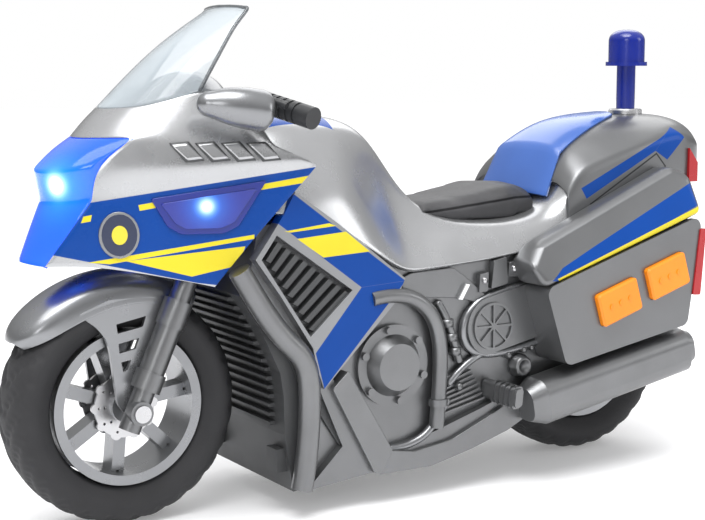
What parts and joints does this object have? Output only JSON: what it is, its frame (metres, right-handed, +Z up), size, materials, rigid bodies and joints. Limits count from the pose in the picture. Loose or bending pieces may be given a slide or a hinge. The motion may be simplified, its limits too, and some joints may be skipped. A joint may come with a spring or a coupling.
{
  "type": "toy motorcycle",
  "caption": "Toy touring motorcycle with a pull-back clockwork drive, steering fork, lit fairing, windscreen, side cases, rear beacon and press buttons.",
  "frame": {"origin": "on the ground under the middle of the motorcycle (bounding box bottom centre)", "axes": "front faces -Y, +X is the motorcycle left side, +Z up; wheel axles lie along X"},
  "size_m": [0.0876, 0.252, 0.1514],
  "materials": {
    "silver_shell": "metallic silver moulded plastic, satin gloss",
    "printed_shell": "metallic silver plastic with printed blue and yellow bands",
    "grey_moulding": "dark metallic grey moulded plastic",
    "silver_parts": "mid metallic grey plastic",
    "black_parts": "black plastic, ribbed grips",
    "tyre_rubber": "dark grey rubber with tread grooves",
    "seat_vinyl": "dark grey vinyl with piped seams",
    "blue_gloss": "deep blue gloss plastic",
    "blue_glow": "lit translucent blue lamp lens",
    "blue_window": "translucent blue plastic",
    "clear_screen": "clear acrylic",
    "red_lamp": "red translucent plastic",
    "lamp_metal": "bright plated ring",
    "led": "clear light-emitting diode",
    "steel": "plain steel",
    "brass_gear": "brass gears",
    "button_orange": "orange push buttons",
    "board_green": "green circuit board",
    "cell_metal": "nickel-plated button cells"
  },
  "bodies": {
    "main": {"chassis_left": "grey_moulding", "chassis_right": "grey_moulding", "body_screws": "steel", "battery_door": "grey_moulding", "battery_cells": "cell_metal", "radiator_grille": "grey_moulding", "crash_bars": "grey_moulding", "engine_covers": "silver_parts", "coolant_hoses": "grey_moulding", "belt_covers": "grey_moulding", "footpegs": "grey_moulding", "mufflers": "silver_shell", "side_panel_left": "printed_shell", "side_panel_right": "printed_shell", "vent_louvres": "grey_moulding", "tank_shell": "silver_shell", "tank_stripe": "blue_gloss", "seat_deck": "silver_shell", "seat": "seat_vinyl", "tail_box": "silver_shell", "tail_window": "blue_window", "tail_lamps": "red_lamp", "beacon_ring": "lamp_metal", "beacon": "blue_gloss", "pannier_box_left": "silver_shell", "pannier_box_right": "silver_shell", "pannier_lid_left": "silver_shell", "pannier_lid_right": "silver_shell", "circuit_board": "board_green", "loudspeaker": "black_parts", "fairing_left": "printed_shell", "fairing_right": "printed_shell", "headlight_lens": "blue_glow", "side_lamps": "blue_glow", "led_lamps": "led", "windscreen": "clear_screen", "instrument_panel": "grey_moulding", "steering_head": "grey_moulding", "motor_case": "grey_moulding"},
    "steering": {"fork_leg_left": "silver_parts", "fork_leg_right": "silver_parts", "fork_yoke": "silver_parts", "front_axle": "steel", "front_mudguard": "silver_shell", "handlebar": "black_parts", "handlebar_grips": "black_parts", "brake_levers": "black_parts", "hand_guards": "silver_parts"},
    "front_wheel": {"front_tyre": "tyre_rubber", "front_rim": "silver_parts", "front_brake_discs": "silver_parts"},
    "rear_wheel": {"rear_tyre": "tyre_rubber", "rear_rim": "silver_parts", "rear_axle": "steel", "axle_pinion": "brass_gear"},
    "idler": {"idler_gear": "brass_gear"},
    "barrel": {"spring_barrel": "brass_gear", "mainspring": "steel"},
    "button_front": {"sound_button_front": "button_orange"},
    "button_rear": {"sound_button_rear": "button_orange"}
  },
  "joints": [
    {"name": "steer", "type": "hinge", "parent": "main", "child": "steering", "pos_m": [0, -0.091, 0.035], "axis": [0, 0.4067, 0.9135], "range_deg": [-12, 12]},
    {"name": "front_wheel_spin", "type": "hinge", "parent": "steering", "child": "front_wheel", "pos_m": [0, -0.091, 0.035], "axis": [1, 0, 0], "continuous": true},
    {"name": "rear_wheel_spin", "type": "hinge", "parent": "main", "child": "rear_wheel", "pos_m": [0, 0.079, 0.035], "axis": [1, 0, 0], "continuous": true},
    {"name": "idler_spin", "type": "hinge", "parent": "main", "child": "idler", "pos_m": [-0.016, 0.06851, 0.03945], "axis": [1, 0, 0], "continuous": true},
    {"name": "barrel_spin", "type": "hinge", "parent": "main", "child": "barrel", "pos_m": [-0.016, 0.05349, 0.04552], "axis": [1, 0, 0], "continuous": true},
    {"name": "front_button_press", "type": "slide", "parent": "main", "child": "button_front", "axis": [-1, 0, 0], "range_m": [0, 0.0015]},
    {"name": "rear_button_press", "type": "slide", "parent": "main", "child": "button_rear", "axis": [-1, 0, 0], "range_m": [0, 0.0015]}
  ],
  "couplings": [
    {"joint": "idler_spin", "follows": "rear_wheel_spin", "ratio": -0.58333},
    {"joint": "barrel_spin", "follows": "rear_wheel_spin", "ratio": 0.46667}
  ]
}
